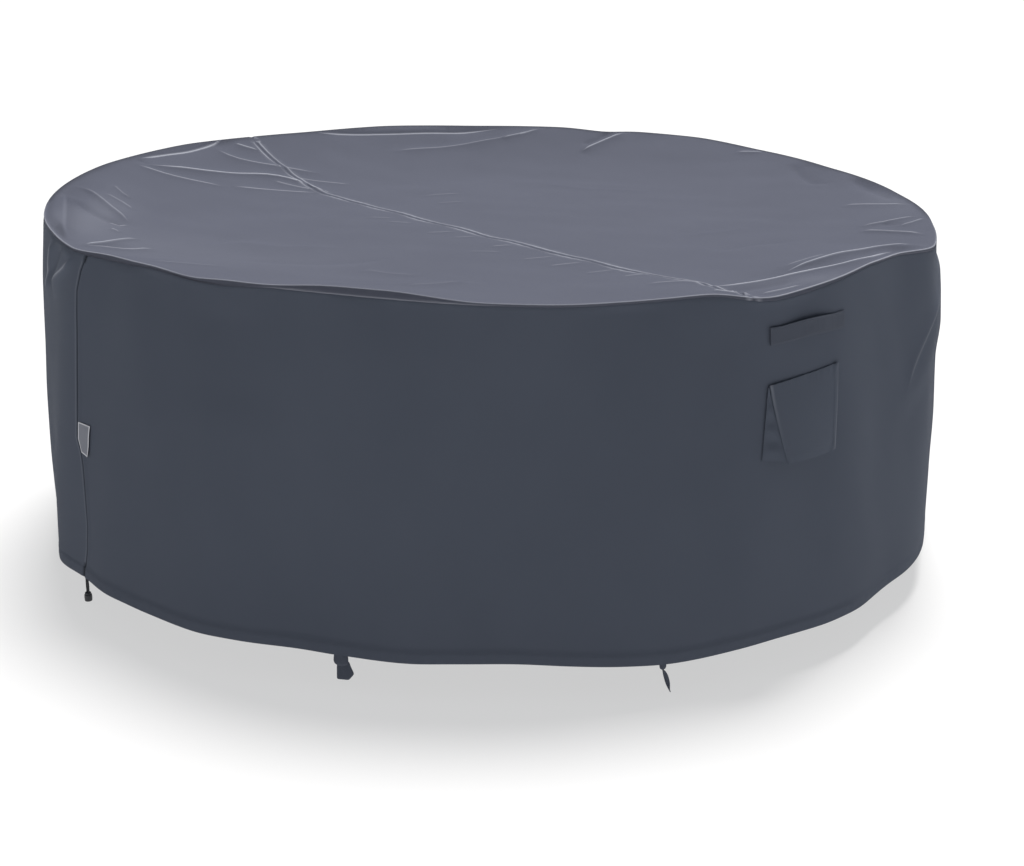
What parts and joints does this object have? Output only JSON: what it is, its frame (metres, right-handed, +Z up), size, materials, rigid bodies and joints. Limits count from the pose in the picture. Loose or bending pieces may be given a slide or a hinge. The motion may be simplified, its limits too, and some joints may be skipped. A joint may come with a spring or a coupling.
{
  "type": "patio furniture cover",
  "caption": "Round fitted cloth cover for a patio table and its chairs, draped with a sunken top, with a side handle, a vent hood, a label and ties at the hem.",
  "frame": {"origin": "on the underside of the top's centre, where the table carries the cloth", "axes": "+Z up; -Y is the front, the side with the handle, the vent hood and the ties; +X is to the right seen from the front"},
  "size_m": [2.1397, 2.1722, 0.7917],
  "materials": {
    "cover_cloth": "woven polyester with a weatherproof coating, dark grey, slight sheen",
    "webbing": "narrow woven strap and tape, dark grey",
    "label_cloth": "pale grey woven label, bare",
    "cord": "round braided cord, near black",
    "toggle_plastic": "matt, near black"
  },
  "bodies": {
    "root": {"top_panel_front": "cover_cloth", "top_panel_back": "cover_cloth", "skirt_panel_front": "cover_cloth", "skirt_panel_back": "cover_cloth", "vent_flap": "cover_cloth", "vent_gusset_left": "cover_cloth", "vent_gusset_right": "cover_cloth", "handle_strap": "webbing", "strap_left_loop": "webbing", "strap_left_tail": "webbing", "strap_right_tab": "webbing", "strap_right_tie": "webbing", "side_label": "label_cloth", "drawcord_strand_left": "cord", "drawcord_strand_right": "cord", "cord_toggle": "toggle_plastic"}
  },
  "joints": []
}
